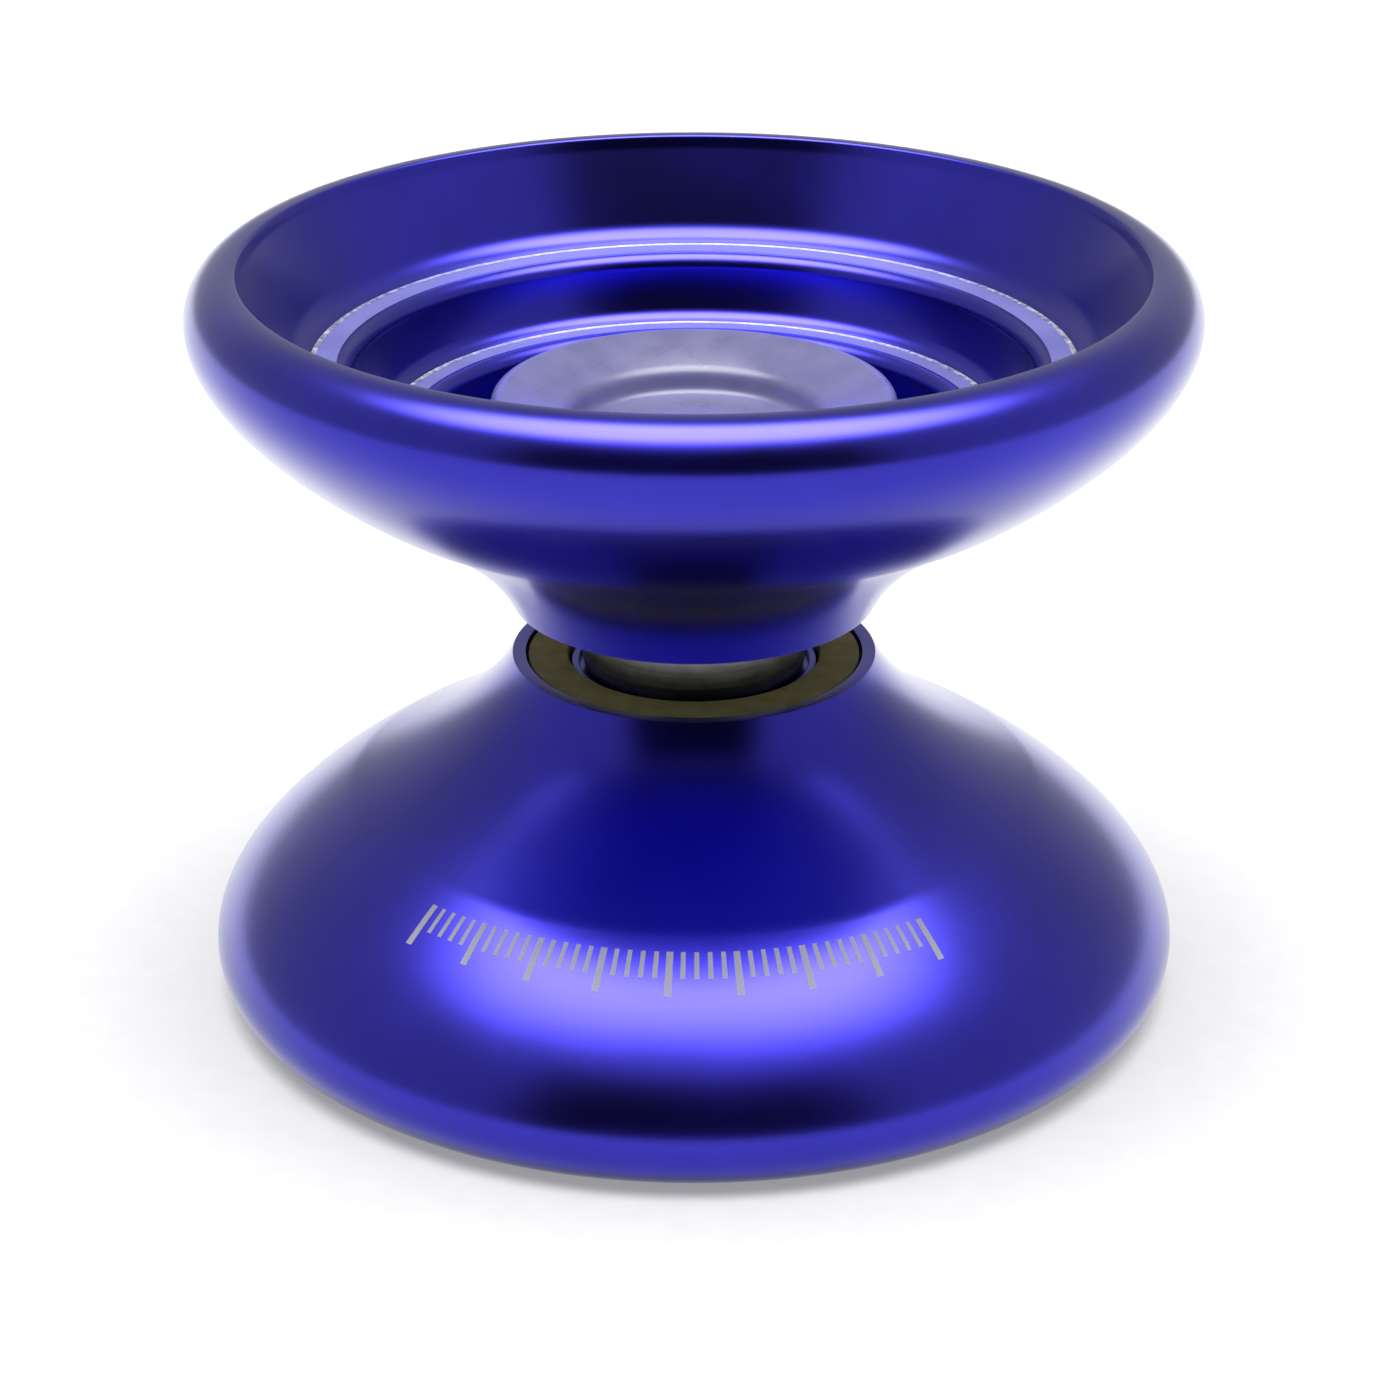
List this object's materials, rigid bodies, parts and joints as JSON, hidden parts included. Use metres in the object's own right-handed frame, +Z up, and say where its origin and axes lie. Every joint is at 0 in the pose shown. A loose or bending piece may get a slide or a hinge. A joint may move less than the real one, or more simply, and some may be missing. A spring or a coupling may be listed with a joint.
{
  "type": "ball-bearing yo-yo",
  "caption": "Wide-bodied metal yo-yo: two flared turned halves with deep stepped cups, a ball bearing, response pads and free-spinning dished hub caps.",
  "frame": {"origin": "centre of the lower rim's flat, on the spin axis, where the yo-yo stands", "axes": "+Z up along the spin axis, from the lower half to the upper half; X and Y are square to it"},
  "size_m": [0.056, 0.056, 0.043],
  "materials": {
    "anodised": "satin violet-blue anodised",
    "silicone": "matt olive silicone",
    "frosted_cap": "frosted translucent",
    "bearing_steel": "ground",
    "black_steel": "black oxide",
    "cage_nylon": "natural nylon"
  },
  "bodies": {
    "lower_half": {"lower_shell": "anodised", "lower_response_pad": "silicone", "bearing_inner_ring": "bearing_steel", "lower_hub_bearing_inner_ring": "bearing_steel"},
    "bearing_outer": {"bearing_outer_ring": "bearing_steel", "bearing_shield_upper": "bearing_steel", "bearing_shield_lower": "bearing_steel", "bearing_snap_ring_upper": "bearing_steel", "bearing_snap_ring_lower": "bearing_steel"},
    "bearing_balls": {"bearing_cage": "cage_nylon", "bearing_ball_1": "bearing_steel", "bearing_ball_2": "bearing_steel", "bearing_ball_3": "bearing_steel", "bearing_ball_4": "bearing_steel", "bearing_ball_5": "bearing_steel", "bearing_ball_6": "bearing_steel", "bearing_ball_7": "bearing_steel", "bearing_ball_8": "bearing_steel"},
    "axle": {"axle_screw": "black_steel"},
    "upper_half": {"upper_shell": "anodised", "upper_response_pad": "silicone", "upper_hub_bearing_inner_ring": "bearing_steel"},
    "lower_cap": {"lower_hub_cap": "frosted_cap", "lower_hub_bearing_outer_ring": "bearing_steel"},
    "lower_cap_balls": {"lower_hub_bearing_cage": "cage_nylon", "lower_hub_bearing_ball_1": "bearing_steel", "lower_hub_bearing_ball_2": "bearing_steel", "lower_hub_bearing_ball_3": "bearing_steel", "lower_hub_bearing_ball_4": "bearing_steel", "lower_hub_bearing_ball_5": "bearing_steel", "lower_hub_bearing_ball_6": "bearing_steel", "lower_hub_bearing_ball_7": "bearing_steel"},
    "upper_cap": {"upper_hub_cap": "frosted_cap", "upper_hub_bearing_outer_ring": "bearing_steel"},
    "upper_cap_balls": {"upper_hub_bearing_cage": "cage_nylon", "upper_hub_bearing_ball_1": "bearing_steel", "upper_hub_bearing_ball_2": "bearing_steel", "upper_hub_bearing_ball_3": "bearing_steel", "upper_hub_bearing_ball_4": "bearing_steel", "upper_hub_bearing_ball_5": "bearing_steel", "upper_hub_bearing_ball_6": "bearing_steel", "upper_hub_bearing_ball_7": "bearing_steel"}
  },
  "joints": [
    {"name": "bearing_spin", "type": "hinge", "parent": "lower_half", "child": "bearing_outer", "pos_m": [0, 0, 0.0215], "axis": [0, 0, 1], "continuous": true},
    {"name": "bearing_balls_orbit", "type": "hinge", "parent": "lower_half", "child": "bearing_balls", "pos_m": [0, 0, 0.0215], "axis": [0, 0, 1], "continuous": true},
    {"name": "axle_lift", "type": "slide", "parent": "lower_half", "child": "axle", "axis": [0, 0, 1], "range_m": [0, 0.00491]},
    {"name": "upper_half_unscrew", "type": "hinge", "parent": "axle", "child": "upper_half", "pos_m": [0, 0, 0.0215], "axis": [0, 0, 1], "range_deg": [0, 2520]},
    {"name": "lower_cap_spin", "type": "hinge", "parent": "lower_half", "child": "lower_cap", "pos_m": [0, 0, 0.0131], "axis": [0, 0, 1], "continuous": true},
    {"name": "lower_cap_balls_orbit", "type": "hinge", "parent": "lower_half", "child": "lower_cap_balls", "pos_m": [0, 0, 0.0131], "axis": [0, 0, 1], "continuous": true},
    {"name": "upper_cap_spin", "type": "hinge", "parent": "upper_half", "child": "upper_cap", "pos_m": [0, 0, 0.0299], "axis": [0, 0, 1], "continuous": true},
    {"name": "upper_cap_balls_orbit", "type": "hinge", "parent": "upper_half", "child": "upper_cap_balls", "pos_m": [0, 0, 0.0299], "axis": [0, 0, 1], "continuous": true}
  ],
  "couplings": [
    {"joint": "bearing_balls_orbit", "follows": "bearing_spin", "ratio": 0.58333},
    {"joint": "axle_lift", "follows": "upper_half_unscrew", "m_per_rad": 0.00011141},
    {"joint": "lower_cap_balls_orbit", "follows": "lower_cap_spin", "ratio": 0.625},
    {"joint": "upper_cap_balls_orbit", "follows": "upper_cap_spin", "ratio": 0.625}
  ]
}
